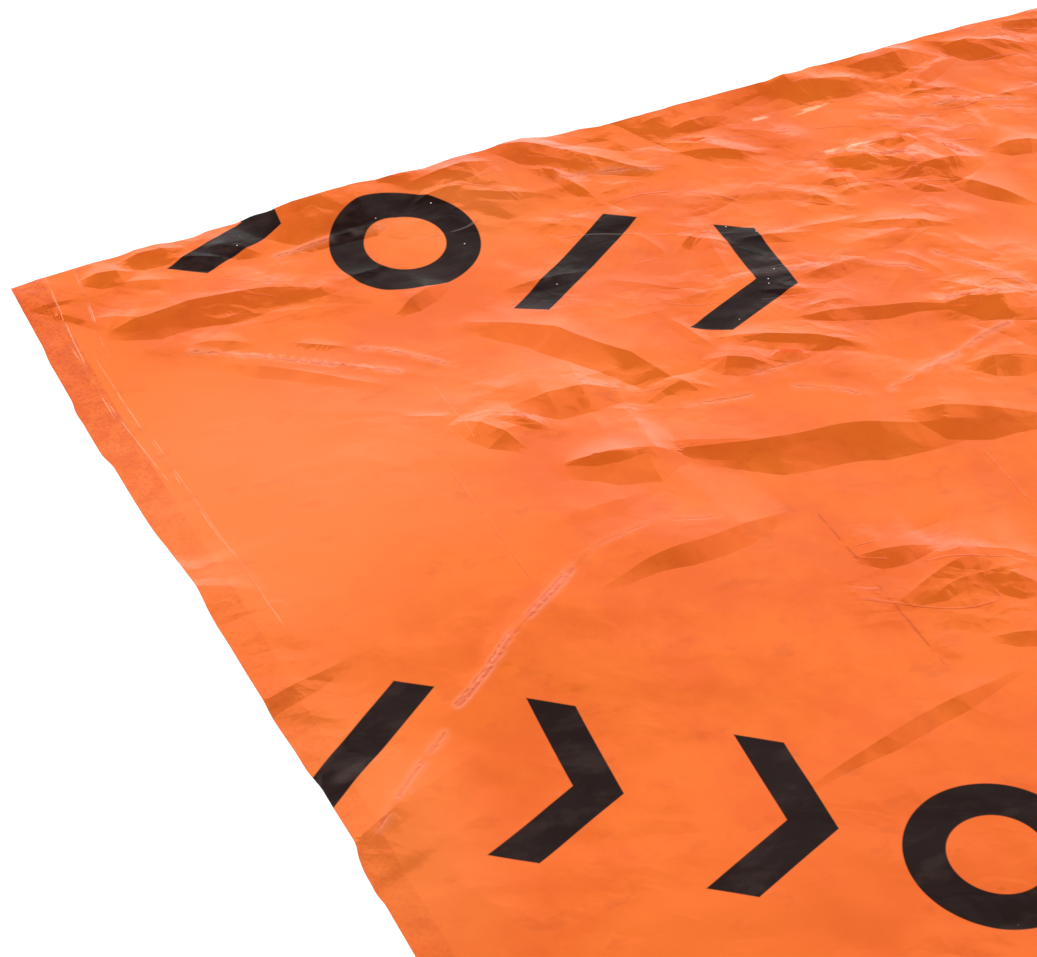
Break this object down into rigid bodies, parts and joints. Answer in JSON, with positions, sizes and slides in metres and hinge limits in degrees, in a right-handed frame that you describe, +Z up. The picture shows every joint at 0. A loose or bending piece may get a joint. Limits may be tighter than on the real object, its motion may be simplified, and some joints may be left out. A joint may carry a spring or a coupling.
{
  "type": "emergency foil blanket, corner cut length",
  "caption": "Thin orange metallised foil sheet with a heat-welded edge strip, lying open and loosely crumpled on a level surface.",
  "frame": {"origin": "middle of the sheet's box, on the level surface that it lies on", "axes": "+X along the plain top edge away from the welded edge, +Y along the welded edge towards the factory corner, +Z up"},
  "size_m": [0.906, 0.7043, 0.0154],
  "materials": {
    "orange_foil": "glossy orange metallised film, silver underneath, sharp crumple creases"
  },
  "bodies": {
    "root": {"foil_sheet": "orange_foil"}
  },
  "joints": []
}
